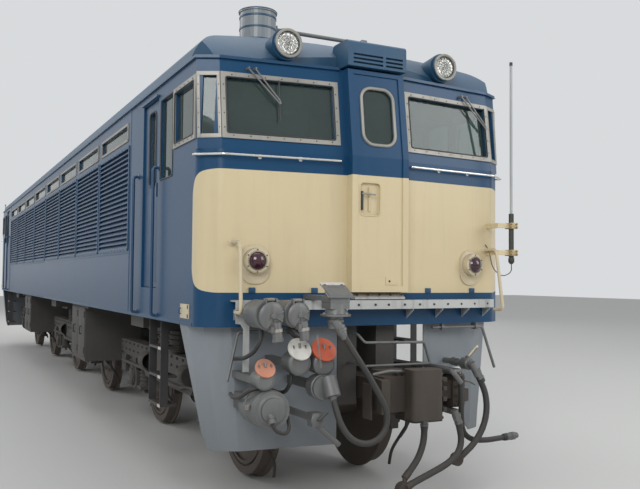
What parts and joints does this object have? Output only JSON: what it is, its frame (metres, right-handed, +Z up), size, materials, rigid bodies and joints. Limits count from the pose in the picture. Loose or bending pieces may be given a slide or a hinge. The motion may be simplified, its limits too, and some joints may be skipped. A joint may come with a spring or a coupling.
{
  "type": "electric locomotive",
  "caption": "Box-cab electric locomotive with louvred sides, swept cab faces with gangway doors, diamond pantographs and a dual-head coupler.",
  "frame": {"origin": "below the middle of the body, on the plane of the wheel flange tips, 28 mm under the rail top", "axes": "+X to the right seen from the leading end, +Y from the leading end to the trailing end, +Z up"},
  "size_m": [2.928, 18.149, 4.0878],
  "materials": {
    "body_blue": "satin paint, worn",
    "roof_blue": "satin paint, dusty",
    "underframe_grey": "matt, greasy",
    "bogie_dark": "matt, greasy",
    "wheel_steel": "dull",
    "glass": "dark tinted",
    "bright_metal": "satin",
    "cream": "satin paint",
    "lamp_lens": "clear fluted",
    "tail_red": "dark red",
    "rail_paint": "satin paint",
    "black": "matt",
    "ledge_silver": "worn silver paint",
    "skirt_grey": "satin paint, dusty",
    "coupler_iron": "rusty",
    "machine_green": "matt",
    "interior_green": "matt",
    "insulator_grey": "satin",
    "panto_grey": "matt",
    "rubber": "matt",
    "socket_grey": "worn silver paint"
  },
  "bodies": {
    "body": {"air_hoses": "rubber", "air_pipes": "socket_grey", "antennas": "bright_metal", "arresters": "insulator_grey", "cab_front": "body_blue", "cab_interiors": "interior_green", "cab_rear": "body_blue", "coupler_front": "coupler_iron", "coupler_rear": "coupler_iron", "front_ledges": "ledge_silver", "handrails": "rail_paint", "headlamp_housings": "roof_blue", "headlamp_lenses": "lamp_lens", "hose_couplings": "coupler_iron", "jumper_cable": "rubber", "jumper_sockets": "socket_grey", "machine_block": "machine_green", "pantograph_1_base": "insulator_grey", "pantograph_2_base": "insulator_grey", "roof": "roof_blue", "roof_ventilators": "roof_blue", "side_wall_left": "body_blue", "side_wall_right": "body_blue", "skirts": "skirt_grey", "tail_lamps": "cream", "tail_lenses": "tail_red", "underfloor_cases": "underframe_grey", "underframe": "underframe_grey", "whistle_boxes": "roof_blue", "window_frames": "bright_metal", "window_glass": "glass", "wipers": "black"},
    "bogie_1": {"bogie_frame_1": "bogie_dark", "traction_motors_1": "bogie_dark"},
    "bogie_2": {"bogie_frame_2": "bogie_dark", "traction_motors_2": "bogie_dark"},
    "bogie_3": {"bogie_frame_3": "bogie_dark", "traction_motors_3": "bogie_dark"},
    "wheelset_body_1": {"wheelset_1": "wheel_steel"},
    "wheelset_body_2": {"wheelset_2": "wheel_steel"},
    "wheelset_body_3": {"wheelset_3": "wheel_steel"},
    "wheelset_body_4": {"wheelset_4": "wheel_steel"},
    "wheelset_body_5": {"wheelset_5": "wheel_steel"},
    "wheelset_body_6": {"wheelset_6": "wheel_steel"},
    "cab_door_front_right_leaf": {"cab_door_front_right": "body_blue"},
    "cab_door_front_left_leaf": {"cab_door_front_left": "body_blue"},
    "gangway_door_front_leaf": {"gangway_door_front": "body_blue"},
    "cab_door_rear_right_leaf": {"cab_door_rear_right": "body_blue"},
    "cab_door_rear_left_leaf": {"cab_door_rear_left": "body_blue"},
    "gangway_door_rear_leaf": {"gangway_door_rear": "body_blue"},
    "pantograph_1_lower_lead_arm": {"pantograph_1_lower_lead": "panto_grey"},
    "pantograph_1_lower_trail_arm": {"pantograph_1_lower_trail": "panto_grey"},
    "pantograph_1_upper_lead_arm": {"pantograph_1_upper_lead": "panto_grey"},
    "pantograph_1_upper_trail_arm": {"pantograph_1_upper_trail": "panto_grey"},
    "pantograph_1_head_arm": {"pantograph_1_head": "panto_grey"},
    "pantograph_2_lower_lead_arm": {"pantograph_2_lower_lead": "panto_grey"},
    "pantograph_2_lower_trail_arm": {"pantograph_2_lower_trail": "panto_grey"},
    "pantograph_2_upper_lead_arm": {"pantograph_2_upper_lead": "panto_grey"},
    "pantograph_2_upper_trail_arm": {"pantograph_2_upper_trail": "panto_grey"},
    "pantograph_2_head_arm": {"pantograph_2_head": "panto_grey"}
  },
  "joints": [
    {"name": "bogie_1_swivel", "type": "hinge", "parent": "body", "child": "bogie_1", "pos_m": [0, -5.85, 0.848], "axis": [0, 0, 1], "range_deg": [-3, 3]},
    {"name": "bogie_2_swivel", "type": "hinge", "parent": "body", "child": "bogie_2", "pos_m": [0, 0, 0.848], "axis": [0, 0, 1], "range_deg": [-1, 1]},
    {"name": "bogie_3_swivel", "type": "hinge", "parent": "body", "child": "bogie_3", "pos_m": [0, 5.85, 0.848], "axis": [0, 0, 1], "range_deg": [-3, 3]},
    {"name": "wheelset_1_roll", "type": "hinge", "parent": "bogie_1", "child": "wheelset_body_1", "pos_m": [0, -7.25, 0.588], "axis": [1, 0, 0], "continuous": true},
    {"name": "wheelset_2_roll", "type": "hinge", "parent": "bogie_1", "child": "wheelset_body_2", "pos_m": [0, -4.45, 0.588], "axis": [1, 0, 0], "continuous": true},
    {"name": "wheelset_3_roll", "type": "hinge", "parent": "bogie_2", "child": "wheelset_body_3", "pos_m": [0, -1.4, 0.588], "axis": [1, 0, 0], "continuous": true},
    {"name": "wheelset_4_roll", "type": "hinge", "parent": "bogie_2", "child": "wheelset_body_4", "pos_m": [0, 1.4, 0.588], "axis": [1, 0, 0], "continuous": true},
    {"name": "wheelset_5_roll", "type": "hinge", "parent": "bogie_3", "child": "wheelset_body_5", "pos_m": [0, 4.45, 0.588], "axis": [1, 0, 0], "continuous": true},
    {"name": "wheelset_6_roll", "type": "hinge", "parent": "bogie_3", "child": "wheelset_body_6", "pos_m": [0, 7.25, 0.588], "axis": [1, 0, 0], "continuous": true},
    {"name": "cab_door_front_right_hinge", "type": "hinge", "parent": "body", "child": "cab_door_front_right_leaf", "pos_m": [1.334, -6.647, 2.4], "axis": [0, 0, -1], "range_deg": [0, 85]},
    {"name": "cab_door_front_left_hinge", "type": "hinge", "parent": "body", "child": "cab_door_front_left_leaf", "pos_m": [-1.334, -6.647, 2.4], "axis": [0, 0, 1], "range_deg": [0, 85]},
    {"name": "gangway_door_front_hinge", "type": "hinge", "parent": "body", "child": "gangway_door_front_leaf", "pos_m": [0.225, -8.45, 2.2], "axis": [0, 0, -1], "range_deg": [0, 88]},
    {"name": "cab_door_rear_right_hinge", "type": "hinge", "parent": "body", "child": "cab_door_rear_right_leaf", "pos_m": [-1.334, 6.647, 2.4], "axis": [0, 0, -1], "range_deg": [0, 85]},
    {"name": "cab_door_rear_left_hinge", "type": "hinge", "parent": "body", "child": "cab_door_rear_left_leaf", "pos_m": [1.334, 6.647, 2.4], "axis": [0, 0, 1], "range_deg": [0, 85]},
    {"name": "gangway_door_rear_hinge", "type": "hinge", "parent": "body", "child": "gangway_door_rear_leaf", "pos_m": [-0.225, 8.45, 2.2], "axis": [0, 0, -1], "range_deg": [0, 88]},
    {"name": "pantograph_1_raise", "type": "hinge", "parent": "body", "child": "pantograph_1_lower_lead_arm", "pos_m": [0, -6.48, 3.933], "axis": [-1, 0, 0], "range_deg": [0, 50]},
    {"name": "pantograph_1_lead_knee", "type": "hinge", "parent": "pantograph_1_lower_lead_arm", "child": "pantograph_1_upper_lead_arm", "pos_m": [0, -7.47887, 3.9805], "axis": [-1, 0, 0], "range_deg": [-102, 2]},
    {"name": "pantograph_1_head_pivot", "type": "hinge", "parent": "pantograph_1_upper_lead_arm", "child": "pantograph_1_head_arm", "pos_m": [0, -6.48, 4.028], "axis": [-1, 0, 0], "range_deg": [-2, 52]},
    {"name": "pantograph_1_trail_base", "type": "hinge", "parent": "body", "child": "pantograph_1_lower_trail_arm", "pos_m": [0, -5.92, 3.933], "axis": [1, 0, 0], "range_deg": [-2, 52]},
    {"name": "pantograph_1_trail_knee", "type": "hinge", "parent": "pantograph_1_lower_trail_arm", "child": "pantograph_1_upper_trail_arm", "pos_m": [0, -4.92113, 3.9805], "axis": [1, 0, 0], "range_deg": [-102, 2]},
    {"name": "pantograph_2_raise", "type": "hinge", "parent": "body", "child": "pantograph_2_lower_lead_arm", "pos_m": [0, 6.48, 3.933], "axis": [1, 0, 0], "range_deg": [0, 50]},
    {"name": "pantograph_2_lead_knee", "type": "hinge", "parent": "pantograph_2_lower_lead_arm", "child": "pantograph_2_upper_lead_arm", "pos_m": [0, 7.47887, 3.9805], "axis": [1, 0, 0], "range_deg": [-102, 2]},
    {"name": "pantograph_2_head_pivot", "type": "hinge", "parent": "pantograph_2_upper_lead_arm", "child": "pantograph_2_head_arm", "pos_m": [0, 6.48, 4.028], "axis": [1, 0, 0], "range_deg": [-2, 52]},
    {"name": "pantograph_2_trail_base", "type": "hinge", "parent": "body", "child": "pantograph_2_lower_trail_arm", "pos_m": [0, 5.92, 3.933], "axis": [-1, 0, 0], "range_deg": [-2, 52]},
    {"name": "pantograph_2_trail_knee", "type": "hinge", "parent": "pantograph_2_lower_trail_arm", "child": "pantograph_2_upper_trail_arm", "pos_m": [0, 4.92113, 3.9805], "axis": [-1, 0, 0], "range_deg": [-102, 2]}
  ],
  "couplings": [
    {"joint": "pantograph_1_lead_knee", "follows": "pantograph_1_raise", "ratio": -2},
    {"joint": "pantograph_1_head_pivot", "follows": "pantograph_1_raise", "ratio": 1},
    {"joint": "pantograph_1_trail_base", "follows": "pantograph_1_raise", "ratio": 1},
    {"joint": "pantograph_1_trail_knee", "follows": "pantograph_1_raise", "ratio": -2},
    {"joint": "pantograph_2_lead_knee", "follows": "pantograph_2_raise", "ratio": -2},
    {"joint": "pantograph_2_head_pivot", "follows": "pantograph_2_raise", "ratio": 1},
    {"joint": "pantograph_2_trail_base", "follows": "pantograph_2_raise", "ratio": 1},
    {"joint": "pantograph_2_trail_knee", "follows": "pantograph_2_raise", "ratio": -2}
  ]
}
